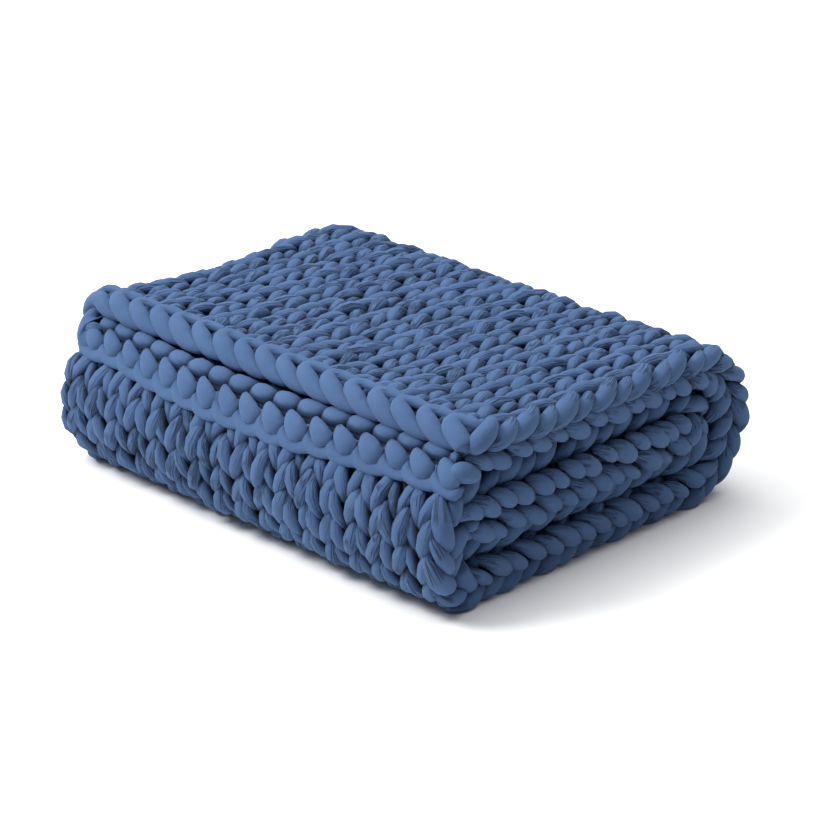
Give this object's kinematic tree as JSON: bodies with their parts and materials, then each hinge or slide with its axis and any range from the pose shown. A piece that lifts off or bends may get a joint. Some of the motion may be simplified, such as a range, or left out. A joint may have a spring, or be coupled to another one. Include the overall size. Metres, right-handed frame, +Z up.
{
  "type": "weighted blanket",
  "caption": "Chunky hand-knit weighted blanket, folded in half and rolled flat, with its bound-off edge over the front and its selvedges at one end.",
  "frame": {"origin": "middle of the footprint on the surface the blanket rests on", "axes": "+Z up; +X towards the end where both selvedges show; -Y towards the front, where the free bound-off edges lie over the front fold"},
  "size_m": [0.6262, 0.497, 0.194],
  "materials": {
    "knit_jersey": "matte blue cotton jersey tube yarn, hand-knit in stockinette"
  },
  "bodies": {
    "root": {"blanket": "knit_jersey"}
  },
  "joints": []
}
